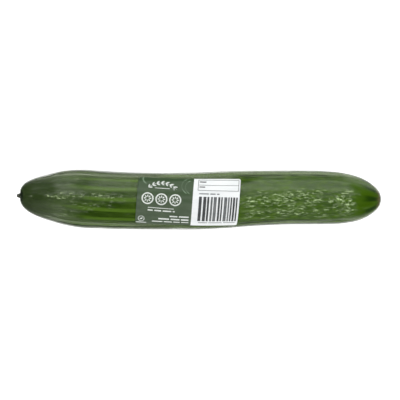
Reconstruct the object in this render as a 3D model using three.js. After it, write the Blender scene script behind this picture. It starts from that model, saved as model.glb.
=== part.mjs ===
// A long salad cucumber as sold, lying on its side: the ribbed fruit with its stem stub, the clear film
// shrunk tightly round it, and a curved printed label stuck on top.
// Millimetres, +Z up. +X runs from the stem end to the blossom end, and the fruit bends sideways in Y.
import * as THREE from "three";

// Outside of the wrapped fruit: distance from the stem shoulder, radius
const outlinePoints = [
  [0, 0],
  [0.5, 5.9],
  [3.8, 10.6],
  [10.4, 14.4],
  [23.6, 18.8],
  [36.8, 22.2],
  [50, 23.8],
  [70, 23.6],
  [115, 23.15],
  [165, 23.35],
  [210, 22.4],
  [252, 21.8],
  [267, 20.7],
  [281, 17.5],
  [291, 12.1],
  [297, 6],
  [298.6, 0],
];
const fruitLength = outlinePoints.at(-1)[0];

// Middle line of the fruit at even steps along its length: sideways bend, height above the ground
const middleLine = [
  [2.75, 22.3],
  [1.65, 22.8],
  [1.15, 23.1],
  [0.1, 23],
  [-0.9, 22.8],
  [-1.5, 22.6],
  [-1.8, 22.5],
  [-1.8, 22.6],
  [-1.5, 22.7],
  [-0.7, 22.5],
  [0.2, 22.2],
  [0.9, 21.85],
  [1.3, 21.6],
  [1.3, 21.55],
  [0.9, 21.6],
  [0.25, 21.75],
  [-0.25, 21.9],
];

const film = { thickness: 0.3, gap: 0.3, holeRadius: 3.6, sinkIntoGrooves: 0.5 };
const ribs = {
  count: 16,
  depth: 0.7,
  fadeLength: 28,
  firstCrest: THREE.MathUtils.degToRad(-5),
  twist: THREE.MathUtils.degToRad(11), // from end to end, towards -Y
};
const stub = { length: 2.4, tipRadius: 1.2, bodyRadius: 1.7, neckRadius: 2.1 };
const blossomScar = { radius: 2.6, depth: 0.5 };
const label = {
  width: 83,
  height: 45,
  thickness: 0.3,
  gap: 0.3,
  cornerRadius: 2,
  alongFruit: 139, // from the stem shoulder to the middle of the label
  roundFruit: 1.4, // from the top line of the fruit to the middle of the label, towards -Y
  turn: THREE.MathUtils.degToRad(4.2), // clockwise as seen from above
};

// Facets: fruit and film share their rings and sides, so that their faces lie one inside the other
const rings = 30;
const sides = ribs.count * 4;
const labelColumns = 18;
const labelRows = 16;

const outline = new THREE.CatmullRomCurve3(
  outlinePoints.map(([x, radius]) => new THREE.Vector3(x, radius, 0)),
  false,
  "centripetal",
);
const spine = new THREE.CatmullRomCurve3(
  middleLine.map(([y, z], i) => new THREE.Vector3((i / (middleLine.length - 1)) * fruitLength, y, z)),
  false,
  "catmullrom",
  0.5,
);

// The middle of the cross section at x
function middleAt(x) {
  return spine.getPoint(THREE.MathUtils.clamp(x / fruitLength, 0, 1));
}

// Radius outside the film at x, found by halving the outline
function outsideRadius(x) {
  let before = 0;
  let after = 1;
  for (let step = 0; step < 30; step++) {
    const half = (before + after) / 2;
    if (outline.getPoint(half).x < x) before = half;
    else after = half;
  }
  return outline.getPoint(before).y;
}

// The outline moved inwards, from the film's hole on the stem shoulder to the blossom tip on the axis.
// Each point is a radius and a place along the fruit, and the rings stand closer towards both ends.
function insetOutline(inset) {
  const startShare = film.holeRadius / outline.getLength();
  const points = [];
  for (let i = 0; i < rings; i++) {
    const share = startShare + ((1 - startShare) * (1 - Math.cos((i / rings) * Math.PI))) / 2;
    const point = outline.getPointAt(share);
    const tangent = outline.getTangentAt(share);
    points.push(new THREE.Vector2(point.y - tangent.x * inset, point.x + tangent.y * inset));
  }
  points.push(new THREE.Vector2(0, fruitLength - inset));
  return points;
}

// Shallow lengthwise ribs: crests on the outline, grooves below it, running out towards both ends
function ribRelief(x, angle) {
  const fromEnd = Math.min(x, fruitLength - x);
  const fade = THREE.MathUtils.smoothstep(fromEnd, 0, ribs.fadeLength);
  const wave = (Math.cos(ribs.count * (angle - ribs.firstCrest)) - 1) / 2;
  return ribs.depth * fade * wave;
}

// Revolves a profile and lays it along +X, with angle 0 at the top and positive angles towards -Y.
// The ribs change its radius and twist it a little, the middle line bends it, and each profile point stays
// at or above its own lowest height, which flattens the underside a little.
function revolveAlongFruit(profile, lowest, ribShare) {
  const geometry = new THREE.LatheGeometry(profile, sides, ribs.firstCrest);
  geometry.rotateZ(-Math.PI / 2);
  const position = geometry.getAttribute("position");
  for (let i = 0; i < position.count; i++) {
    const x = position.getX(i);
    const angle = Math.atan2(-position.getY(i), position.getZ(i));
    const straightRadius = Math.hypot(position.getY(i), position.getZ(i));
    const radius = straightRadius > 0 ? straightRadius + ribShare * ribRelief(x, angle) : 0;
    const turned = angle + (ribs.twist * x) / fruitLength;
    const middle = middleAt(x);
    const height = Math.max(middle.z + radius * Math.cos(turned), lowest[i % profile.length]);
    position.setXYZ(i, x, middle.y - radius * Math.sin(turned), height);
  }
  return geometry;
}

// The whole fruit in one body: stem stub, shoulder, ribbed flesh and the dimpled blossom scar
function makeCucumber() {
  const inset = film.thickness + film.gap;
  const tip = fruitLength - inset;
  const flesh = insetOutline(inset);
  const profile = [
    new THREE.Vector2(0, -stub.length),
    new THREE.Vector2(stub.tipRadius, -stub.length),
    new THREE.Vector2(stub.bodyRadius, -stub.length * 0.6),
    new THREE.Vector2(stub.neckRadius, inset - 0.3),
    ...flesh.filter((p) => p.x > blossomScar.radius),
    new THREE.Vector2(blossomScar.radius * 0.7, tip - blossomScar.depth * 0.7),
    new THREE.Vector2(0, tip - blossomScar.depth),
  ];
  const lowest = profile.map(() => inset);
  const geometry = revolveAlongFruit(profile, lowest, 1);
  const skin = new THREE.MeshStandardMaterial({ color: 0x3f6620, roughness: 0.5, metalness: 0 });
  const mesh = new THREE.Mesh(geometry, skin);
  mesh.name = "cucumber";
  return mesh;
}

// A thin closed skin over the fruit, open only round the stem stub. It bridges the grooves in part.
function makeShrinkFilm() {
  const outside = insetOutline(0);
  const inside = insetOutline(film.thickness).reverse();
  const profile = [...inside, ...outside];
  const lowest = profile.map((p, i) => (i < inside.length ? film.thickness : 0));
  const geometry = revolveAlongFruit(profile, lowest, film.sinkIntoGrooves);
  const clear = new THREE.MeshStandardMaterial({
    color: 0xdfe6dc,
    roughness: 0.15,
    metalness: 0,
    transparent: true,
    opacity: 0.2,
  });
  const mesh = new THREE.Mesh(geometry, clear);
  mesh.name = "shrink_film";
  return mesh;
}

// Half the label's width at height v, less towards its rounded corners
function labelHalfWidth(v) {
  const intoCorner = Math.max(Math.abs(v) - (label.height / 2 - label.cornerRadius), 0);
  return label.width / 2 - label.cornerRadius + Math.sqrt(label.cornerRadius ** 2 - intoCorner ** 2);
}

// A round-cornered sheet wrapped on the film
function makeLabel() {
  const geometry = new THREE.BoxGeometry(2, 2, label.thickness, labelColumns, labelRows, 1);
  const position = geometry.getAttribute("position");
  for (let i = 0; i < position.count; i++) {
    const v = (label.height / 2) * Math.sin((position.getY(i) * Math.PI) / 2);
    const u = labelHalfWidth(v) * position.getX(i);
    const x = label.alongFruit + u * Math.cos(label.turn) + v * Math.sin(label.turn);
    const arc = label.roundFruit + u * Math.sin(label.turn) - v * Math.cos(label.turn);
    const wrapRadius = outsideRadius(x) + label.gap + label.thickness / 2;
    const angle = arc / wrapRadius;
    const radius = wrapRadius + position.getZ(i);
    const middle = middleAt(x);
    position.setXYZ(i, x, middle.y - radius * Math.sin(angle), middle.z + radius * Math.cos(angle));
  }
  const printed = new THREE.MeshStandardMaterial({ color: 0x7f9080, roughness: 0.35, metalness: 0 });
  const mesh = new THREE.Mesh(geometry, printed);
  mesh.name = "label";
  return mesh;
}

const wrappedCucumber = new THREE.Group();
wrappedCucumber.add(makeCucumber(), makeShrinkFilm(), makeLabel());

// The origin is under the middle of the whole form, on the ground it lies on
const box = new THREE.Box3().setFromObject(wrappedCucumber, true);
const centre = box.getCenter(new THREE.Vector3());
wrappedCucumber.position.set(-centre.x, -centre.y, -box.min.z);

export default wrappedCucumber;
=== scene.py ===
import math
import random

import bmesh
import bpy
import numpy as np
from mathutils import Matrix, Vector, noise


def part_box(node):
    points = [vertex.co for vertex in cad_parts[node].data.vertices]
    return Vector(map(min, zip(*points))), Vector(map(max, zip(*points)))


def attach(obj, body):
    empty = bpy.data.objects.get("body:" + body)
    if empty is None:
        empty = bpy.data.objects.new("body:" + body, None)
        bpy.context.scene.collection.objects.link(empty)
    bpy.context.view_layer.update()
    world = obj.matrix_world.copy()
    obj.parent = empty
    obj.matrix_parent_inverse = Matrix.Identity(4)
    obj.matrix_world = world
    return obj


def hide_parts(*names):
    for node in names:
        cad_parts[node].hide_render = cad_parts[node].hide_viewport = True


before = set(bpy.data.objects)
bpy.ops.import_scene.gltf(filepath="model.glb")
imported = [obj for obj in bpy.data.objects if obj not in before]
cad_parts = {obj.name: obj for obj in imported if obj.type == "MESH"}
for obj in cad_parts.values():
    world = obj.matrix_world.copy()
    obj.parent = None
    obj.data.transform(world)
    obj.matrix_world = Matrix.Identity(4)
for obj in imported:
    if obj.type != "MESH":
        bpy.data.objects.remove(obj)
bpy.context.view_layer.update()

mm = 0.001  # every length in the dictionaries below is in millimetres

# The form that fruit, film and label share, as in the CAD part
form = {
    "outline": [  # outside of the wrapped fruit: distance from the stem shoulder, radius
        (0, 0), (0.5, 5.9), (3.8, 10.6), (10.4, 14.4), (23.6, 18.8), (36.8, 22.2), (50, 23.8), (70, 23.6),
        (115, 23.15), (165, 23.35), (210, 22.4), (252, 21.8), (267, 20.7), (281, 17.5), (291, 12.1),
        (297, 6), (298.6, 0),
    ],
    "middle": [  # at even steps along the fruit: sideways bend, height above the ground
        (2.75, 22.3), (1.65, 22.8), (1.15, 23.1), (0.1, 23), (-0.9, 22.8), (-1.5, 22.6), (-1.8, 22.5),
        (-1.8, 22.6), (-1.5, 22.7), (-0.7, 22.5), (0.2, 22.2), (0.9, 21.85), (1.3, 21.6), (1.3, 21.55),
        (0.9, 21.6), (0.25, 21.75), (-0.25, 21.9),
    ],
    "ribCount": 16,
    "ribDepth": 0.7,
    "ribFade": 28,
    "firstCrest": math.radians(-5),
    "twist": math.radians(11),
    "stubLength": 2.4,
}
fruitLength = form["outline"][-1][0]


def curveThrough(points, steps, power):  # Catmull-Rom, centripetal at power 0.5 and uniform at 0
    points = np.array(points, float)
    points = np.vstack([2 * points[0] - points[1], points, 2 * points[-1] - points[-2]])
    share = np.linspace(0, 1, steps, endpoint=False)[:, None]
    line = []
    for a, b, c, d in zip(points, points[1:], points[2:], points[3:]):
        before, between, after = (np.linalg.norm(q - p) ** power for p, q in ((a, b), (b, c), (c, d)))
        leave = ((b - a) / before - (c - a) / (before + between) + (c - b) / between) * between
        arrive = ((c - b) / between - (d - b) / (between + after) + (d - c) / after) * between
        line.append(
            (2 * share**3 - 3 * share**2 + 1) * b
            + (share**3 - 2 * share**2 + share) * leave
            + (3 * share**2 - 2 * share**3) * c
            + (share**3 - share**2) * arrive
        )
    return np.vstack(line + [points[-2:-1]])


outlineLine = curveThrough(form["outline"], 24, 0.5)
middleSteps = np.linspace(0, fruitLength, len(form["middle"]))
middleLine = curveThrough([(x, *place) for x, place in zip(middleSteps, form["middle"])], 12, 0)


def middleAt(x):
    return np.interp(x, middleLine[:, 0], middleLine[:, 1]), np.interp(x, middleLine[:, 0], middleLine[:, 2])


def outsideRadius(x):
    return np.interp(x, outlineLine[:, 0], outlineLine[:, 1])


# From the fruit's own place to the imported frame: the stub's tip gives the length, the sides give the middle
sideways = middleAt(outlineLine[:, 0])[0]
frameShift = Vector((
    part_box("cucumber")[0].x / mm + form["stubLength"],
    -((sideways + outlineLine[:, 1]).max() + (sideways - outlineLine[:, 1]).min()) / 2,
    0,
))


def bentPlace(x, angle, radius, lowest):  # angle 0 is the top, positive towards -Y
    side, height = middleAt(x)
    above = max(height + radius * math.cos(angle), lowest)
    return (Vector((x, side - radius * math.sin(angle), above)) + frameShift) * mm


def fadeIn(value, start, end):
    share = min(max((value - start) / (end - start), 0), 1)
    return share * share * (3 - 2 * share)


def ribRelief(x, angle):  # 0 on a crest and below it in the grooves
    fade = fadeIn(min(x, fruitLength - x), 0, form["ribFade"])
    crest = form["firstCrest"] + form["twist"] * x / fruitLength
    wave = (math.cos(form["ribCount"] * (angle - crest)) - 1) / 2
    return form["ribDepth"] * fade * wave


def insetLine(inset):  # the outline moved inwards, as distance along and radius
    along, radius = outlineLine.T
    way = np.gradient(outlineLine, axis=0)
    way /= np.linalg.norm(way, axis=1)[:, None]
    return np.column_stack([along + way[:, 1] * inset, radius - way[:, 0] * inset])


def evenRings(line, count, crowding):  # rings stand closer at both ends by the share crowding
    length = np.concatenate([[0], np.cumsum(np.linalg.norm(np.diff(line, axis=0), axis=1))])
    share = np.linspace(0, 1, count)
    share = share * (1 - crowding) + (1 - np.cos(share * math.pi)) / 2 * crowding
    return [
        (np.interp(s, length, line[:, 0]), np.interp(s, length, line[:, 1])) for s in share * length[-1]
    ]


def revolve(profile, sides):  # turns a profile of (along, radius) round the X axis
    bm = bmesh.new()
    line = [bm.verts.new((x, 0, radius)) for x, radius in profile]
    edges = [bm.edges.new(pair) for pair in zip(line, line[1:])]
    bmesh.ops.spin(
        bm, geom=line + edges, cent=(0, 0, 0), axis=(1, 0, 0), angle=math.tau, steps=sides, use_merge=True
    )
    bmesh.ops.remove_doubles(bm, verts=bm.verts, dist=0.001)
    bmesh.ops.recalc_face_normals(bm, faces=bm.faces)
    return bm


def bendInPlace(bm, relief, lowest):
    # relief(x, angle) changes the radius. The unbent place stays in the attribute "straight", in metres.
    straight = bm.verts.layers.float_vector.new("straight")
    for vert in bm.verts:
        x, y, z = vert.co
        radius = math.hypot(y, z)
        angle = math.atan2(-y, z)
        vert[straight] = vert.co * mm
        if radius > 0.001:
            radius += relief(x, angle)
        vert.co = bentPlace(x, angle, radius, lowest)


def addWall(piece, thickness):  # inwards
    wall = piece.modifiers.new("wall", "SOLIDIFY")
    wall.thickness = thickness * mm
    wall.offset = -1


def finishPiece(name, bm, materials, node=None):
    mesh = bpy.data.meshes.new(name)
    for face in bm.faces:
        face.smooth = True
    bm.to_mesh(mesh)
    bm.free()
    piece = bpy.data.objects.new(name, mesh)
    bpy.context.scene.collection.objects.link(piece)
    for material in materials:
        mesh.materials.append(material)
    if node:
        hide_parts(node)
    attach(piece, "root")
    print(f"{name}: {len(mesh.polygons)} faces")
    return piece


# Small helpers for materials

def newMaterial(name):
    material = bpy.data.materials.new(name)
    material.use_nodes = True
    return material


def addNode(material, kind, inputs=None, **settings):
    node = material.node_tree.nodes.new("ShaderNode" + kind)
    for key, value in settings.items():
        setattr(node, key, value)
    for key, value in (inputs or {}).items():
        if isinstance(value, bpy.types.NodeSocket):
            material.node_tree.links.new(value, node.inputs[key])
        else:
            node.inputs[key].default_value = value
    return node


def maths(material, operation, a, b=0.5, c=0.5):
    return addNode(material, "Math", {0: a, 1: b, 2: c}, operation=operation).outputs[0]


def remap(material, value, low, high, toLow=0.0, toHigh=1.0):
    inputs = {"Value": value, "From Min": low, "From Max": high, "To Min": toLow, "To Max": toHigh}
    return addNode(material, "MapRange", inputs, interpolation_type="SMOOTHSTEP").outputs["Result"]


def blendColours(material, share, first, second):
    node = addNode(material, "Mix", data_type="RGBA")
    sockets = {s.identifier: s for s in node.inputs}
    for key, value in (("Factor_Float", share), ("A_Color", first), ("B_Color", second)):
        if isinstance(value, bpy.types.NodeSocket):
            material.node_tree.links.new(value, sockets[key])
        else:
            sockets[key].default_value = (*value, 1) if isinstance(value, tuple) else value
    return next(s for s in node.outputs if s.identifier == "Result_Color")


def stretchedNoise(material, place, scale, detail=3.0, roughness=0.5, offset=(0, 0, 0)):
    # scale is in patches per metre along X, Y and Z
    moved = addNode(material, "Mapping", {"Vector": place, "Location": offset, "Scale": scale}).outputs[0]
    inputs = {"Vector": moved, "Scale": 1.0, "Detail": detail, "Roughness": roughness}
    return addNode(material, "TexNoise", inputs).outputs[0]


def product(material, *values):
    result = values[0]
    for value in values[1:]:
        result = maths(material, "MULTIPLY", result, value)
    return result


def largest(material, *values):
    result = values[0]
    for value in values[1:]:
        result = maths(material, "MAXIMUM", result, value)
    return result


def placeOnFruit(material):  # the unbent place, the share of the length, and the angle from the top
    place = addNode(material, "Attribute", attribute_name="straight").outputs["Vector"]
    split = addNode(material, "SeparateXYZ", {0: place})
    along = maths(material, "DIVIDE", split.outputs[0], fruitLength * mm)
    angle = maths(material, "ARCTAN2", product(material, split.outputs[1], -1.0), split.outputs[2])
    return place, along, angle


def zone(material, along, angle, settings):
    # settings: from and to as shares of the fruit's length, from and to in degrees from the top,
    # and the value inside, which falls softly to 0 at the edges
    start, end, low, high, strength = settings
    low, high = math.radians(low), math.radians(high)
    alongEdge, turnEdge = 0.015, 0.12  # half the width of the soft edges
    return product(
        material,
        remap(material, along, start - alongEdge, start + alongEdge, 0.0, strength),
        remap(material, along, end + alongEdge, end - alongEdge),
        remap(material, angle, low - turnEdge, low + turnEdge),
        remap(material, angle, high + turnEdge, high - turnEdge),
    )


# Camera: straight above the fruit, as far to the side as the photograph's middle

view = {"lens": 110, "frameWidth": 330.1, "outlineHeight": 23, "middle": (0.7, -0.44)}
cameraData = bpy.data.cameras.new("camera")
cameraData.lens = view["lens"]
distance = view["frameWidth"] * view["lens"] / cameraData.sensor_width
camera = bpy.data.objects.new("camera", cameraData)
camera.location = Vector((*view["middle"], view["outlineHeight"] + distance)) * mm
bpy.context.scene.collection.objects.link(camera)
bpy.context.scene.camera = camera
print("camera done")


# Fruit

fruit = {
    "inset": 0.6,  # below the outline, under the film
    "meanRadius": 22,
    "sides": 252,
    "rings": 340,
    "fleshFrom": 3.2,  # radius at which the shoulder meets the stub
    "stub": [  # distance from the stem shoulder, radius
        (-2.4, 0), (-2.4, 0.9), (-2.15, 1.3), (-1.4, 1.6), (-0.4, 1.85), (0.45, 2.4),
    ],
    "scarRadius": 2.6,
    "scarDepth": 0.3,
    "tipGap": 0.15,  # the fruit ends this much earlier than its inset outline
    "ribWander": 0.05,  # radians
    "dentDepth": 0.28,
    "poreDepth": 0.05,
    "puckerDepth": 0.22,
    "stubUnevenness": 0.22,
    "mostRelief": 0.25,  # above the fruit's own outline, to stay inside the film
    "warts": 150,
    "wartHeight": 0.22,
    "wartRadius": 1.1,
    "seed": 7,
    "unbrokenStripes": [(0.18, 0.45, -38, 54, 0.8)],  # zones, as zone() reads them
    "neckLobes": 3,
    "tipRays": 9,
    "tipPuckers": 11,
    "colours": {  # where there are two, the first is the darker one
        "stemHalf": ((0.018, 0.042, 0.002), (0.042, 0.082, 0.007)),
        "blossomHalf": ((0.030, 0.070, 0.003), (0.054, 0.112, 0.008)),
        "speckles": ((0.022, 0.056, 0.003), (0.088, 0.170, 0.006)),
        "stripes": (0.088, 0.165, 0.016),
        "streaks": (0.085, 0.150, 0.020),
        "stemEnd": (0.026, 0.042, 0.012),
        "neck": (0.003, 0.010, 0.0005),
        "blossomEnd": (0.050, 0.110, 0.001),
        "rays": (0.014, 0.044, 0.0005),
        "scar": (0.13, 0.11, 0.035),
        "stub": ((0.07, 0.075, 0.06), (0.24, 0.25, 0.21)),
        "stubTip": (0.02, 0.022, 0.018),
    },
}


def fruitProfile():
    flesh = insetLine(fruit["inset"])
    first = np.argmax(flesh[:, 1] > fruit["fleshFrom"])
    last = len(flesh) - np.argmax(flesh[::-1, 1] > fruit["scarRadius"])
    tip = fruitLength - fruit["inset"] - fruit["tipGap"]
    nearTip = np.clip((flesh[:, 0] - fruitLength + 25) / 25, 0, 1)
    flesh[:, 0] -= fruit["tipGap"] * nearTip**2
    stub = curveThrough(fruit["stub"] + [tuple(flesh[first])], 8, 0.5)[:-1]
    scar = [
        (tip - fruit["scarDepth"] * 0.7, fruit["scarRadius"] * 0.7),
        (tip - fruit["scarDepth"], fruit["scarRadius"] * 0.3),
        (tip - fruit["scarDepth"] * 0.8, 0),
    ]
    return evenRings(np.vstack([stub, flesh[first:last], scar]), fruit["rings"], 0.35)


def wartPlaces():
    draw = random.Random(fruit["seed"])
    places = []
    for _ in range(fruit["warts"]):
        rib = draw.randrange(form["ribCount"])
        x = draw.uniform(20, fruitLength - 25)
        angle = form["firstCrest"] + rib * math.tau / form["ribCount"] + draw.gauss(0, 0.07)
        places.append((x, angle + form["twist"] * x / fruitLength, draw.uniform(0.4, 1)))
    return places


warts = wartPlaces()


def fruitRelief(x, angle):
    meanRadius = fruit["meanRadius"]
    around = Vector((x, meanRadius * math.cos(angle), meanRadius * math.sin(angle)))
    wander = fruit["ribWander"] * noise.noise(Vector((x / 45, angle * 0.9, 3)))
    relief = ribRelief(x, angle + wander) * (0.75 + 0.5 * noise.noise(around / 35 + Vector((9, 0, 0))))
    relief += fruit["dentDepth"] * (noise.noise(around / 14) - 0.4)
    relief += fruit["poreDepth"] * noise.fractal(around / 1.6, 1.0, 2.0, 2)
    nearTip = math.exp(-max(fruitLength - x, 0) / 5)
    pucker = math.cos(fruit["tipPuckers"] * angle + 2 * noise.noise(around / 9)) - 1
    relief += fruit["puckerDepth"] * nearTip * pucker
    if x < 0.5:  # on the stub
        relief = fruit["stubUnevenness"] * noise.noise(around / 6 + Vector((x * 0.8, 0, 4)))
    for wartX, wartAngle, size in warts:
        gap = abs(wartX - x)
        if gap < 3:
            turn = (angle - wartAngle + math.pi) % math.tau - math.pi
            away = math.hypot(gap, turn * meanRadius) / (fruit["wartRadius"] * (0.5 + 0.5 * size))
            relief += fruit["wartHeight"] * size * math.exp(-away * away)
    return min(relief, fruit["mostRelief"])


def skinMaterial():
    skin = newMaterial("cucumber_skin")
    shader = skin.node_tree.nodes["Principled BSDF"]
    colours = fruit["colours"]
    place, along, angle = placeOnFruit(skin)
    wander = stretchedNoise(skin, place, (18, 40, 40), 2.0)
    patchy = stretchedNoise(skin, place, (11, 75, 75), 3.0, 0.55, (0, 3, 0))
    blotch = stretchedNoise(skin, place, (30, 70, 70), 5.0, 0.65, (5, 0, 0))
    mottle = stretchedNoise(skin, place, (190, 480, 480), 2.0, 0.5, (0, 8, 3))
    streak = stretchedNoise(skin, place, (45, 700, 700), 3.0, 0.6)
    pores = stretchedNoise(skin, place, (420, 700, 700), 3.0, 0.6)

    # Blotchy ground that pales towards the blossom and is speckled there
    blotches = remap(skin, blotch, 0.32, 0.68)
    deep = blendColours(skin, blotches, *colours["stemHalf"])
    fresh = blendColours(skin, blotches, *colours["blossomHalf"])
    darkSpeckle, paleSpeckle = colours["speckles"]
    fresh = blendColours(skin, remap(skin, mottle, 0.50, 0.66, 0.0, 0.55), fresh, paleSpeckle)
    fresh = blendColours(skin, remap(skin, mottle, 0.46, 0.34, 0.0, 0.5), fresh, darkSpeckle)
    colour = blendColours(skin, remap(skin, along, 0.35, 0.75), deep, fresh)

    # Light stripes on the ribs' crests, broken off here and there, and fine streaks
    straightened = maths(skin, "MULTIPLY_ADD", along, -form["twist"], angle)
    turned = product(skin, maths(skin, "SUBTRACT", straightened, form["firstCrest"]), form["ribCount"])
    swayed = maths(skin, "MULTIPLY_ADD", maths(skin, "SUBTRACT", wander, 0.5), 2.4, turned)
    crest = maths(skin, "MULTIPLY_ADD", maths(skin, "COSINE", swayed), 0.5, 0.5)
    unbroken = remap(skin, patchy, 0.42, 0.60)
    for settings in fruit["unbrokenStripes"]:
        unbroken = largest(skin, unbroken, zone(skin, along, angle, settings))
    kept = product(skin, remap(skin, along, 0.08, 0.24), remap(skin, along, 0.45, 0.75, 1.0, 0.3))
    stripe = product(skin, remap(skin, crest, 0.5, 0.97), unbroken, kept)
    colour = blendColours(skin, stripe, colour, colours["stripes"])
    colour = blendColours(skin, remap(skin, streak, 0.50, 0.72, 0.0, 0.4), colour, colours["streaks"])

    # Dull stem end, with a lobed dark neck round the stub
    colour = blendColours(skin, remap(skin, along, 0.02, 0.17, 0.85, 0.0), colour, colours["stemEnd"])
    sway = remap(skin, wander, 0.3, 0.7, -0.8, 0.8)
    lobes = maths(skin, "COSINE", maths(skin, "MULTIPLY_ADD", angle, fruit["neckLobes"], sway))
    neckEdge = maths(skin, "MULTIPLY_ADD", mottle, 0.008, along)
    neckEdge = maths(skin, "MULTIPLY_ADD", lobes, -0.005, neckEdge)
    colour = blendColours(skin, remap(skin, neckEdge, 0.011, 0.016, 0.95, 0.0), colour, colours["neck"])

    # Fresh blossom end with dark rays, and a scar at its tip
    atBlossom = product(skin, remap(skin, along, 0.89, 0.95), remap(skin, patchy, 0.3, 0.6, 0.45, 1.0))
    colour = blendColours(skin, atBlossom, colour, colours["blossomEnd"])
    rayTurn = maths(skin, "MULTIPLY_ADD", straightened, fruit["tipRays"], product(skin, wander, 4.0))
    rays = maths(skin, "COSINE", rayTurn)
    rayShare = product(skin, remap(skin, rays, -0.3, 0.6), remap(skin, along, 0.93, 0.965))
    colour = blendColours(skin, rayShare, colour, colours["rays"])
    scarEdge = maths(skin, "MULTIPLY_ADD", rays, 0.002, along)
    scarEdge = maths(skin, "MULTIPLY_ADD", blotch, 0.016, scarEdge)
    colour = blendColours(skin, remap(skin, scarEdge, 0.986, 1.000, 0.0, 0.85), colour, colours["scar"])

    # Corky stub with a dried tip
    stub = blendColours(skin, remap(skin, pores, 0.4, 0.6), *colours["stub"])
    stub = blendColours(skin, remap(skin, along, -0.0068, -0.0055, 1.0, 0.0), stub, colours["stubTip"])
    colour = blendColours(skin, remap(skin, along, -0.001, 0.002, 1.0, 0.0), colour, stub)
    skin.node_tree.links.new(colour, shader.inputs["Base Color"])

    bump = addNode(skin, "Bump", {"Height": pores, "Strength": 0.35, "Distance": 0.25 * mm})
    skin.node_tree.links.new(bump.outputs[0], shader.inputs["Normal"])
    skin.node_tree.links.new(remap(skin, blotch, 0.3, 0.7, 0.42, 0.58), shader.inputs["Roughness"])
    shader.inputs["Specular IOR Level"].default_value = 0.05
    return skin


def makeFruit():
    bm = revolve(fruitProfile(), fruit["sides"])
    bendInPlace(bm, fruitRelief, fruit["inset"])
    finishPiece("cucumber_fruit", bm, [skinMaterial()], "cucumber")


makeFruit()


# Film

film = {
    "inset": 0.12,  # below the outline
    "meanRadius": 23,
    "sides": 200,
    "rings": 246,
    "holeRadius": 3.6,
    "sinkIntoGrooves": 0.5,
    "thickness": 0.05,
    "sideFolds": [-70, -57, 56, 69],  # folds along the whole fruit, degrees from the top
    "sideFoldHeight": 0.4,
    "sideFoldWidth": 0.8,
    "wrinkles": 46,
    "wrinkleHeight": (0.08, 0.26),
    "wrinkleWidth": (0.7, 1.5),
    "pleats": 26,
    "pleatHeight": 0.3,
    "pleatReach": 4.5,
    "crinkle": 0.09,
    "mostRelief": 0.3,
    # Shares of light that each of the two walls scatters, as milk and as painted sheen, glints and fold
    # highlights
    "milkAndRimSheen": 0.02,
    "blisterGlintShare": 0.24,
    "paintedSideSheen": 0.06,
    "foldHighlightShare": 0.10,
    # Colours of what shows through and of the light that is scattered, with painted shade in the dark fold
    # tint and painted glints in the blister colour
    "clearTint": (0.97, 0.98, 0.97),
    "foldShadeTint": (0.55, 0.57, 0.54),
    "milkAndSheenColour": (0.72, 0.81, 0.58),
    "blisterGlintColour": (0.76, 0.98, 0.50),
    # Zones, as zone() reads them
    "clearZones": [
        (0.17, 0.60, 5, 46, 1), (0.19, 0.60, -18, 5, 0.6), (0.60, 0.93, -6, 56, 0.6),
        (0.915, 1.05, -33, 47, 1), (-0.1, 0.10, -42, 6, 0.7),
    ],
    "blisterGlintZones": [
        (0.62, 0.915, -18, 46, 1.0), (0.09, 0.40, -13, 2, 0.7), (0.13, 0.27, 6, 16, 0.4),
        (0.09, 0.17, 18, 28, 0.3),
    ],
    # painted reflection: bands of extra milk along the sides, in place of the film's grazing reflection at
    # the rims
    "paintedRimSheenZones": [
        (0.40, 0.75, -84, -50, 2.2), (0.75, 0.90, -84, -56, 2.2), (0.05, 0.40, -84, -46, 1.4),
        (0.90, 1.02, -90, -42, 1.5), (0.90, 1.02, 54, 90, 2.1), (0.04, 0.13, 18, 72, 0.9),
    ],
    "blisterGlintClusters": [
        (0.622, 0.648, -3, 16, 2.2), (0.665, 0.695, -3, 16, 2.2), (0.70, 0.745, -11, 4, 1.6),
        (0.785, 0.82, -9, -3, 1.6), (0.86, 0.905, -4, 12, 2.6), (0.83, 0.925, -19, -13, 1.4),
        (0.085, 0.155, -5, 2, 2.0), (0.18, 0.205, 18, 24, 1.8),
    ],
    # Fold lines along the film: from and to as shares of its length, degrees from the top
    # painted highlights: pale lines along the folds
    "foldHighlightLines": [
        (0.04, 0.40, -57.5), (0.06, 0.42, 55), (0.12, 0.42, 79), (0.60, 0.95, -66), (0.58, 0.99, 73),
        (0.92, 0.995, -47), (0.91, 1.0, 60),
    ],
    # painted shade: dark lines along the folds
    "foldShadeLines": [
        (0.05, 0.40, -67), (0.08, 0.42, 65), (0.60, 0.86, -56), (0.60, 0.90, 62), (0.93, 1.0, -64),
    ],
    "foldLineWidth": math.radians(1.7),
    "seed": 21,
}


def wrinklePlaces():  # most run along both sides of the fruit
    draw = random.Random(film["seed"])
    places = []
    for _ in range(film["wrinkles"]):
        side = draw.choice((-1, 1)) * draw.gauss(math.radians(88), math.radians(26))
        start = draw.uniform(-40, fruitLength - 60)
        places.append({
            "angle": side,
            "start": start,
            "end": start + draw.uniform(50, 190),
            "height": draw.uniform(*film["wrinkleHeight"]),
            "width": draw.uniform(*film["wrinkleWidth"]),
            "drift": draw.uniform(-0.0012, 0.0012),
            "phase": draw.uniform(0, 100),
        })
    for i, side in enumerate(film["sideFolds"]):
        places.append({
            "angle": math.radians(side),
            "start": 5,
            "end": fruitLength - 5,
            "height": film["sideFoldHeight"],
            "width": film["sideFoldWidth"],
            "drift": 0,
            "phase": 200 + 7 * i,
        })
    return places


wrinkles = wrinklePlaces()


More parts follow.
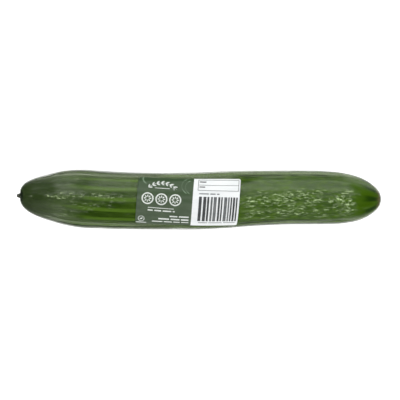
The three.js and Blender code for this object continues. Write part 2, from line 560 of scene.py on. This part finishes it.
def filmRelief(x, angle):
    relief = film["sinkIntoGrooves"] * ribRelief(x, angle)
    meanRadius = film["meanRadius"]
    around = Vector((x, meanRadius * math.cos(angle), meanRadius * math.sin(angle)))
    for wrinkle in wrinkles:
        if wrinkle["start"] < x < wrinkle["end"]:
            path = wrinkle["angle"] + wrinkle["drift"] * (x - wrinkle["start"])
            path += 0.05 * noise.noise(Vector((x / 30, wrinkle["phase"], 0)))
            turn = (angle - path + math.pi) % math.tau - math.pi
            away = turn * meanRadius / wrinkle["width"]
            if abs(away) < 3:
                ends = fadeIn(x, wrinkle["start"], wrinkle["start"] + 15)
                ends *= 1 - fadeIn(x, wrinkle["end"] - 15, wrinkle["end"])
                relief += wrinkle["height"] * ends * math.exp(-away * away)
    fromEnd = min(x, fruitLength - x)
    gather = math.exp(-fromEnd / film["pleatReach"])
    pleat = math.cos(film["pleats"] * angle + 3 * noise.noise(around / 5))
    relief += film["pleatHeight"] * gather * (pleat - 0.6) / 2
    patch = max(noise.noise(around / 22 + Vector((4, 2, 8))) + 0.15, 0)
    relief += film["crinkle"] * patch * noise.noise(Vector((x / 4, around.y / 2, around.z / 2)))
    return min(relief, film["mostRelief"])


def foldLines(material, along, angle, places):
    width = film["foldLineWidth"]
    lines = []
    for start, end, degrees in places:
        away = maths(material, "ABSOLUTE", maths(material, "SUBTRACT", angle, math.radians(degrees)))
        lines.append(product(
            material,
            remap(material, away, width, width * 0.3),
            remap(material, along, start - 0.01, start + 0.03),
            remap(material, along, end + 0.005, end - 0.03),
        ))
    return largest(material, *lines)


def filmMaterial():
    clear = newMaterial("clear_film")
    nodes = clear.node_tree.nodes
    place, along, angle = placeOnFruit(clear)
    ragged = stretchedNoise(clear, place, (60, 130, 130), 4.0, 0.65, (3, 3, 0))
    ragged = maths(clear, "SUBTRACT", ragged, 0.5)
    raggedAlong = maths(clear, "MULTIPLY_ADD", ragged, 0.09, along)
    raggedAngle = maths(clear, "MULTIPLY_ADD", ragged, 0.5, angle)

    lengthwise = stretchedNoise(clear, place, (40, 900, 900), 3.0, 0.6)
    crinkled = stretchedNoise(clear, place, (260, 480, 480), 4.0, 0.65, (0, 0, 7))
    patch = remap(clear, stretchedNoise(clear, place, (25, 45, 45), 2.0, 0.5, (2, 0, 0)), 0.42, 0.62)
    height = maths(clear, "MULTIPLY_ADD", product(clear, crinkled, patch), 0.9, lengthwise)
    bump = addNode(clear, "Bump", {"Height": height, "Strength": 0.6, "Distance": 0.3 * mm}).outputs[0]

    # The film clings clear in some zones and stands off a little elsewhere, which makes it milky
    wet = remap(clear, stretchedNoise(clear, place, (12, 28, 28), 2.0, 0.5, (8, 1, 0)), 0.60, 0.68)
    for settings in film["clearZones"]:
        wet = largest(clear, wet, zone(clear, raggedAlong, raggedAngle, settings))
    cloudy = stretchedNoise(clear, place, (35, 260, 260), 4.0, 0.6, (0, 6, 2))
    cloudy = remap(clear, cloudy, 0.3, 0.75, 0.3, 1.3)
    milkAndRimSheen = product(clear, maths(clear, "SUBTRACT", 1.0, wet), cloudy)
    # Painted reflection: extra milk in bands along the turned-away sides stands in for the film's bright rims
    for settings in film["paintedRimSheenZones"]:
        milkAndRimSheen = maths(clear, "ADD", milkAndRimSheen, zone(clear, raggedAlong, raggedAngle, settings))
    milkAndRimSheen = product(clear, milkAndRimSheen, remap(clear, along, 0.0, 0.14, 0.15, 1.15))

    # Rims and flakes of small blisters, thickest on top of the blossom half: partly milky blisters, partly
    # painted highlight glints in a bright greenish milk
    swell = stretchedNoise(clear, place, (170, 480, 480), 2.5, 0.55, (1, 4, 0))
    ridge = maths(clear, "ABSOLUTE", maths(clear, "SUBTRACT", swell, 0.5))
    flakes = stretchedNoise(clear, place, (230, 700, 700), 3.0, 0.6, (6, 4, 0))
    marks = largest(clear, remap(clear, ridge, 0.036, 0.004, 0.0, 0.4), remap(clear, flakes, 0.53, 0.63))
    crowd = stretchedNoise(clear, place, (70, 190, 190), 2.0, 0.5, (1, 9, 0))
    crowded = remap(clear, crowd, 0.38, 0.56, 0.15, 1.0)
    blisterGlintPlaces = remap(clear, crowd, 0.62, 0.70, 0.0, 0.4)
    for settings in film["blisterGlintZones"]:
        here = product(clear, zone(clear, raggedAlong, raggedAngle, settings), crowded)
        blisterGlintPlaces = largest(clear, blisterGlintPlaces, here)
    for settings in film["blisterGlintClusters"]:
        blisterGlintPlaces = largest(clear, blisterGlintPlaces, zone(clear, raggedAlong, raggedAngle, settings))
    blisterGlints = product(clear, marks, blisterGlintPlaces)

    # Folded film along both sides, less of it at the stem end: painted reflection, whitish lengthwise streaks
    # on the turned-away sides in place of the film's grazing reflection there
    folds = stretchedNoise(clear, place, (9, 560, 560), 3.0, 0.6, (0, 2, 5))
    folds = remap(clear, folds, 0.44, 0.64, 0.1, 1.8)
    turnedAway = maths(clear, "ABSOLUTE", maths(clear, "SINE", raggedAngle))
    sides = product(clear, remap(clear, turnedAway, 0.78, 0.94), remap(clear, along, 0.0, 0.09, 0.45, 1.0))
    waver = stretchedNoise(clear, place, (16, 30, 30), 3.0, 0.6, (4, 0, 9))
    wavering = maths(clear, "MULTIPLY_ADD", maths(clear, "SUBTRACT", waver, 0.5), 0.14, angle)
    # Painted highlights: pale lines along the folds, laid in as milk
    foldHighlightLines = foldLines(clear, along, wavering, film["foldHighlightLines"])
    foldShadeLines = foldLines(clear, along, wavering, film["foldShadeLines"])

    hazeAndSheen = product(clear, milkAndRimSheen, film["milkAndRimSheen"])
    hazeAndSheen = maths(clear, "MULTIPLY_ADD", blisterGlints, film["blisterGlintShare"], hazeAndSheen)
    hazeAndSheen = maths(clear, "MULTIPLY_ADD", product(clear, folds, sides), film["paintedSideSheen"], hazeAndSheen)
    hazeAndSheen = maths(clear, "MULTIPLY_ADD", foldHighlightLines, film["foldHighlightShare"], hazeAndSheen)

    # Painted shade: the dark fold lines dim what shows through the film
    tint = blendColours(clear, foldShadeLines, film["clearTint"], film["foldShadeTint"])
    seeThrough = addNode(clear, "BsdfTransparent", {"Color": tint})
    gloss = addNode(clear, "BsdfGlossy", {"Color": (1, 1, 1, 1), "Roughness": 0.16, "Normal": bump})
    slant = addNode(clear, "LayerWeight", {"Blend": 0.5, "Normal": bump}).outputs["Facing"]
    straightOn = maths(clear, "MULTIPLY_ADD", wet, -0.011, 0.012)  # less where the film clings
    mirrored = maths(clear, "MULTIPLY_ADD", maths(clear, "POWER", slant, 5.0), 0.9, straightOn)
    mirrored = product(clear, mirrored, remap(clear, along, 0.0, 0.035, 0.25, 1.0))
    bare = addNode(clear, "MixShader", {0: mirrored, 1: seeThrough.outputs[0], 2: gloss.outputs[0]})
    milkAndSheenShader = nodes["Principled BSDF"]
    # Painted highlight: where the blister glints lie, the milk turns bright yellow-green
    whitish = blendColours(clear, remap(clear, blisterGlints, 0.1, 0.7), film["milkAndSheenColour"], film["blisterGlintColour"])
    clear.node_tree.links.new(whitish, milkAndSheenShader.inputs["Base Color"])
    milkAndSheenShader.inputs["Roughness"].default_value = 0.3
    clear.node_tree.links.new(bump, milkAndSheenShader.inputs["Normal"])
    whole = addNode(clear, "MixShader", {0: hazeAndSheen, 1: bare.outputs[0], 2: milkAndSheenShader.outputs[0]})
    clear.node_tree.links.new(whole.outputs[0], nodes["Material Output"].inputs["Surface"])
    return clear


def makeFilm():
    line = insetLine(film["inset"])
    line = line[np.argmax(line[:, 1] > film["holeRadius"]):-1]
    line = np.vstack([line, (fruitLength - film["inset"], 0)])
    bm = revolve(evenRings(line, film["rings"], 0.4), film["sides"])
    bendInPlace(bm, filmRelief, 0)
    piece = finishPiece("shrink_wrap", bm, [filmMaterial()], "shrink_film")
    addWall(piece, film["thickness"])


makeFilm()


# Label

label = {
    "width": 83,
    "height": 45,
    "cornerRadius": 2,
    "alongFruit": 139,
    "roundFruit": 1.4,
    "turn": math.radians(4.2),
    "lift": 0.34,  # above the outline, at its top side
    "thickness": 0.1,
    "grid": 0.8,
    "followRibs": 0.6,
    "whiteFrom": 3.6,  # the white part begins here, right of the middle
    "bows": [(1.5, 14.5, 7.5), (3.5, 13.5, 6.5), (-32, 20, 6.0)],  # crescent creases: middle, radius
    "bowHeight": 0.16,
    "seamHeight": 0.03,  # of a faint ridge along the middle
    "waviness": 0.05,
    "colours": {
        "dark": ((0.066, 0.094, 0.056), (0.086, 0.116, 0.074)),
        "darkPaintedShadeTop": (0.030, 0.068, 0.020),  # painted shade: darker and greener towards the top edge
        # painted highlight: pale colour of the thin arcs along the crescent creases
        "paintedCreaseHighlight": (0.26, 0.37, 0.25),
        "white": ((0.80, 0.83, 0.835), (0.86, 0.88, 0.88)),
    },
}


def labelRelief(x, angle, u, v):
    relief = label["followRibs"] * ribRelief(x, angle)
    relief += label["waviness"] * noise.noise(Vector((u / 9, v / 6, 2)))
    for bowU, bowV, radius in label["bows"]:
        fromBow = math.hypot(u - bowU, v - bowV) - radius
        if abs(fromBow) < 2:
            crescent = fadeIn(bowU - u, radius * 0.3, radius * 0.6)
            relief += label["bowHeight"] * math.exp(-((fromBow / 0.5) ** 2)) * crescent
    fromSeam = v + 0.8 + 0.4 * noise.noise(Vector((u / 12, 5, 5)))
    return relief + label["seamHeight"] * math.exp(-((fromSeam / 0.5) ** 2))


def wrapOnFilm(u, v, lift):  # u to the right and v upwards on the flat label
    turn = label["turn"]
    x = label["alongFruit"] + u * math.cos(turn) + v * math.sin(turn)
    radius = outsideRadius(x) + label["lift"]
    angle = (label["roundFruit"] + u * math.sin(turn) - v * math.cos(turn)) / radius
    return bentPlace(x, angle, radius + labelRelief(x, angle, u, v) + lift, 0)


def wrapFlat(bm, lift):  # keeps the flat place in the attribute "flat", in metres
    flat = bm.verts.layers.float_vector.new("flat")
    for vert in bm.verts:
        vert[flat] = vert.co * mm
        vert.co = wrapOnFilm(vert.co.x, vert.co.y, lift + vert.co.z)


def cutAcross(bm, places, normal):
    for place in places:
        bmesh.ops.bisect_plane(
            bm, geom=bm.verts[:] + bm.edges[:] + bm.faces[:], dist=0.0001,
            plane_co=Vector(normal) * place, plane_no=normal,
        )


def labelMaterial(name, colours, roughness=0.35, paintedShadeTop=None):
    printed = newMaterial(name)
    shader = printed.node_tree.nodes["Principled BSDF"]
    place = addNode(printed, "Attribute", attribute_name="flat").outputs["Vector"]
    cloudy = stretchedNoise(printed, place, (60, 190, 190), 4.0, 0.6)
    colour = blendColours(printed, remap(printed, cloudy, 0.35, 0.68), *colours)
    if paintedShadeTop:
        # Painted shade: the dark print turns darker and greener towards the label's top edge
        split = addNode(printed, "SeparateXYZ", {0: place})
        paintedShadeShare = remap(printed, split.outputs[1], -0.008, 0.019, 0.0, 0.85)
        colour = blendColours(printed, paintedShadeShare, colour, paintedShadeTop)
        # Painted highlight: thin pale arcs along the crescent creases, broken up by noise, stand in for light
        # glancing off them
        highlightPatchiness = stretchedNoise(printed, place, (90, 120, 120), 2.0, 0.5, (7, 2, 0))
        highlightPatchiness = remap(printed, highlightPatchiness, 0.40, 0.62, 0.1, 0.9)
        for bowU, bowV, radius in label["bows"]:
            centre = (bowU * mm, bowV * mm, 0)
            away = addNode(printed, "VectorMath", {0: place, 1: centre}, operation="DISTANCE")
            fromBow = maths(printed, "SUBTRACT", away.outputs["Value"], radius * mm)
            bowHighlight = product(
                printed,
                remap(printed, split.outputs[0], (bowU - radius * 0.3) * mm, (bowU - radius * 0.6) * mm),
                remap(printed, maths(printed, "ABSOLUTE", fromBow), 0.0006, 0.0001),
                highlightPatchiness,
            )
            colour = blendColours(printed, bowHighlight, colour, label["colours"]["paintedCreaseHighlight"])
    printed.node_tree.links.new(colour, shader.inputs["Base Color"])
    fine = stretchedNoise(printed, place, (300, 900, 900), 3.0, 0.5)
    bump = addNode(printed, "Bump", {"Height": fine, "Strength": 0.25, "Distance": 0.1 * mm})
    printed.node_tree.links.new(bump.outputs[0], shader.inputs["Normal"])
    shader.inputs["Roughness"].default_value = roughness
    shader.inputs["Specular IOR Level"].default_value = 0.3
    return printed


def makeLabel():
    bm = bmesh.new()
    bmesh.ops.create_grid(bm, x_segments=1, y_segments=1, size=0.5)
    bmesh.ops.scale(bm, vec=(label["width"], label["height"], 1), verts=bm.verts)
    bmesh.ops.bevel(
        bm, geom=bm.verts[:], offset=label["cornerRadius"], offset_type="OFFSET", affect="VERTICES",
        segments=8, profile=0.5, material=-1,
    )
    columns = round(label["width"] / label["grid"])
    rows = round(label["height"] / label["grid"])
    cutAcross(bm, [(i / columns - 0.5) * label["width"] for i in range(1, columns)], (1, 0, 0))
    cutAcross(bm, [(i / rows - 0.5) * label["height"] for i in range(1, rows)], (0, 1, 0))
    cutAcross(bm, [label["whiteFrom"]], (1, 0, 0))
    for face in bm.faces:
        face.material_index = int(face.calc_center_median().x > label["whiteFrom"])
    wrapFlat(bm, 0)
    bmesh.ops.recalc_face_normals(bm, faces=bm.faces)
    colours = label["colours"]
    dark = labelMaterial("label_dark_part", colours["dark"], 0.3, colours["darkPaintedShadeTop"])
    white = labelMaterial("label_white_part", colours["white"])
    piece = finishPiece("label_sheet", bm, [dark, white], "label")
    addWall(piece, label["thickness"])


makeLabel()


# Print on the label: plain stripes and bars, a ruled box, slices and a garland, placed as on the flat label

prints = {
    "lift": 0.06,
    "thickness": 0.02,
    "grid": 0.8,
    "stripes": {"left": 8.7, "right": 40.0, "top": 5.6, "bottom": -16.0, "count": 12, "seed": 11},
    "box": {"left": 7.2, "right": 40.3, "top": 21.0, "middle": 16.0, "bottom": 11.0, "line": 0.4},
    "slices": {"middle": (-21.5, 1.5), "apart": 11.2, "radius": 4.9, "seeds": 8},
    "garland": {
        "middle": (-21.5, 1.5), "radius": 14.5, "spread": math.radians(44), "pairs": 7,
        "leaf": (3.4, 1.3), "fromStem": 1.1, "lean": 0.6, "stem": (4.2, 0.5),
    },
    "badge": {"middle": (-36.8, -16.5), "radius": 2.6, "line": 0.45, "leaf": (3.2, 1.2)},
    "thinLines": [(-27.5, -15.5, 10.5, 11.0), (-32, -11, -6.2, -5.7)],  # left, right, bottom, top
    "barGap": 1.2,
    # Rows of plain bars: left, right, bottom, height, longest bar, ink
    "bars": [
        (-32, -10, -8.6, 1.0, 8, "white"), (-14, 1.6, -13.4, 1.3, 9, "white"),
        (-23, 1.6, -16.2, 1.3, 14, "white"), (-28, 1.6, -18.8, 1.0, 10, "white"),
        (-41, -32.5, -20.8, 0.9, 9, "white"), (8.6, 25, 7.6, 0.8, 8, "grey"),
        (8.4, 14, 18.3, 1.0, 6, "black"), (8.4, 13, 13.4, 1.0, 6, "black"),
        (9.5, 39.5, -18.4, 0.8, 12, "grey"),
    ],
    "inks": {
        "white": ((0.68, 0.72, 0.68), (0.78, 0.82, 0.78)),
        "grey": ((0.115, 0.125, 0.13), (0.18, 0.19, 0.19)),
        "black": ((0.050, 0.054, 0.056), (0.080, 0.085, 0.088)),
    },
}
inkNumbers = {ink: number for number, ink in enumerate(prints["inks"])}


def paint(verts, ink):
    for vert in verts:
        for face in vert.link_faces:
            face.material_index = inkNumbers[ink]


def addBand(bm, left, right, bottom, top, ink):
    columns = max(1, round((right - left) / prints["grid"]))
    rows = max(1, round((top - bottom) / prints["grid"]))
    made = bmesh.ops.create_grid(bm, x_segments=columns, y_segments=rows, size=0.5)["verts"]
    bmesh.ops.scale(bm, vec=(right - left, top - bottom, 1), verts=made)
    bmesh.ops.translate(bm, vec=((left + right) / 2, (bottom + top) / 2, 0), verts=made)
    paint(made, ink)


def addRing(bm, middle, radius, width, ink, segments=40):
    made = bmesh.ops.create_circle(bm, segments=segments, radius=radius)["verts"]
    edges = list({edge for vert in made for edge in vert.link_edges})
    inner = bmesh.ops.extrude_edge_only(bm, edges=edges)["geom"]
    innerVerts = [part for part in inner if isinstance(part, bmesh.types.BMVert)]
    share = (radius - width) / radius
    bmesh.ops.scale(bm, vec=(share, share, 1), verts=innerVerts)
    bmesh.ops.translate(bm, vec=(*middle, 0), verts=made + innerVerts)
    paint(made, ink)


def addLeaf(bm, middle, length, width, turn, ink):  # pointed at both ends
    made = bmesh.ops.create_circle(bm, cap_ends=True, segments=14, radius=0.5)["verts"]
    for vert in made:
        vert.co.y *= math.sqrt(max(1 - (2 * vert.co.x) ** 2, 0)) * width / length
    bmesh.ops.scale(bm, vec=(length, length, 1), verts=made)
    bmesh.ops.rotate(bm, cent=(0, 0, 0), matrix=Matrix.Rotation(turn, 3, "Z"), verts=made)
    bmesh.ops.translate(bm, vec=(*middle, 0), verts=made)
    paint(made, ink)


def addBars(bm, left, right, bottom, height, longest, ink):
    draw = random.Random(f"{left} {bottom}")
    while left < right - 0.5:
        end = min(left + draw.uniform(0.5, 1) * longest, right)
        addBand(bm, left, end, bottom, bottom + height, ink)
        left = end + prints["barGap"]


def addStripes(bm):
    stripes = prints["stripes"]
    draw = random.Random(stripes["seed"])
    widths = [draw.choice((2, 3) if i % 2 else (3, 4, 5, 6)) for i in range(2 * stripes["count"] - 1)]
    unit = (stripes["right"] - stripes["left"]) / sum(widths)
    left = stripes["left"]
    for i, width in enumerate(widths):
        right = left + width * unit
        if i % 2 == 0:
            addBand(bm, left, right, stripes["bottom"], stripes["top"], draw.choice(("grey", "black")))
        left = right


def addBox(bm, ink):
    box = prints["box"]
    line = box["line"]
    for height in (box["top"], box["middle"], box["bottom"]):
        addBand(bm, box["left"], box["right"], height - line, height, ink)
    for side in (box["left"], box["right"] - line):
        addBand(bm, side, side + line, box["bottom"], box["top"] - line, ink)


def addSlice(bm, middle, radius, ink):  # a rind and a ring of seeds
    addRing(bm, middle, radius, radius * 0.22, ink)
    for i in range(prints["slices"]["seeds"]):
        turn = i * math.tau / prints["slices"]["seeds"]
        seed = (middle[0] + math.cos(turn) * radius * 0.44, middle[1] + math.sin(turn) * radius * 0.44)
        addLeaf(bm, seed, radius * 0.46, radius * 0.22, turn, ink)


def addGarland(bm, ink):  # leaves in pairs along a stem that is an arch
    garland = prints["garland"]
    middleX, middleY = garland["middle"]
    for i in range(garland["pairs"]):
        turn = (i / (garland["pairs"] - 1) * 2 - 1) * garland["spread"]
        for side in (-1, 1):
            radius = garland["radius"] + side * garland["fromStem"]
            place = (middleX + radius * math.sin(turn), middleY + radius * math.cos(turn))
            addLeaf(bm, place, *garland["leaf"], -turn + side * garland["lean"], ink)
        radius = garland["radius"]
        place = (middleX + radius * math.sin(turn), middleY + radius * math.cos(turn))
        addLeaf(bm, place, *garland["stem"], -turn, ink)


def makePrint():
    bm = bmesh.new()
    slices, badge = prints["slices"], prints["badge"]
    middleX, middleY = slices["middle"]
    for i in (-1, 0, 1):
        addSlice(bm, (middleX + i * slices["apart"], middleY), slices["radius"], "white")
    addGarland(bm, "white")
    for left, right, bottom, top in prints["thinLines"]:
        addBand(bm, left, right, bottom, top, "white")
    addRing(bm, badge["middle"], badge["radius"], badge["line"], "white", 28)
    addLeaf(bm, badge["middle"], *badge["leaf"], 0.6, "white")
    for row in prints["bars"]:
        addBars(bm, *row)
    addStripes(bm)
    addBox(bm, "grey")
    wrapFlat(bm, prints["lift"])
    bmesh.ops.recalc_face_normals(bm, faces=bm.faces)
    materials = [labelMaterial(ink + "_ink", colours) for ink, colours in prints["inks"].items()]
    piece = finishPiece("label_print", bm, materials, None)
    addWall(piece, prints["thickness"])


makePrint()


# Floor, light and tone

studio = {
    "floorSize": 16000,
    "floorHeight": -0.1,
    "floorGlow": 0.6,
    "sky": 0.2,
    "backLight": {"place": (0, 1100, 850), "size": (3200, 1500), "power": 25.0, "mirrored": True},
    "fillLight": {"place": (0, -900, 1100), "size": (1600, 1600), "power": 18.0, "mirrored": False},
}


def makeFloor():
    bm = bmesh.new()
    bmesh.ops.create_grid(bm, x_segments=1, y_segments=1, size=studio["floorSize"] * mm / 2)
    bmesh.ops.translate(bm, vec=(0, 0, studio["floorHeight"] * mm), verts=bm.verts)
    mesh = bpy.data.meshes.new("floor")
    bm.to_mesh(mesh)
    bm.free()
    floor = bpy.data.objects.new("floor", mesh)
    bpy.context.scene.collection.objects.link(floor)
    pale = newMaterial("pale_floor")
    shader = pale.node_tree.nodes["Principled BSDF"]
    shader.inputs["Base Color"].default_value = (0.86, 0.86, 0.86, 1)
    shader.inputs["Roughness"].default_value = 0.9
    shader.inputs["Emission Color"].default_value = (1, 1, 1, 1)
    shader.inputs["Emission Strength"].default_value = studio["floorGlow"]
    mesh.materials.append(pale)
    floor.visible_glossy = False


def makeLight(name, settings):
    data = bpy.data.lights.new(name, "AREA")
    data.shape = "RECTANGLE"
    data.size, data.size_y = (side * mm for side in settings["size"])
    data.energy = settings["power"]
    light = bpy.data.objects.new(name, data)
    light.location = Vector(settings["place"]) * mm
    light.rotation_euler = light.location.to_track_quat("Z", "Y").to_euler()
    light.visible_glossy = settings["mirrored"]
    bpy.context.scene.collection.objects.link(light)


makeFloor()
makeLight("back_light", studio["backLight"])
makeLight("fill_light", studio["fillLight"])
world = bpy.data.worlds.new("studio")
world.use_nodes = True
world.node_tree.nodes["Background"].inputs["Color"].default_value = (1, 1, 1, 1)
world.node_tree.nodes["Background"].inputs["Strength"].default_value = studio["sky"]
bpy.context.scene.world = world
bpy.context.scene.view_settings.view_transform = "Standard"
print("studio done")
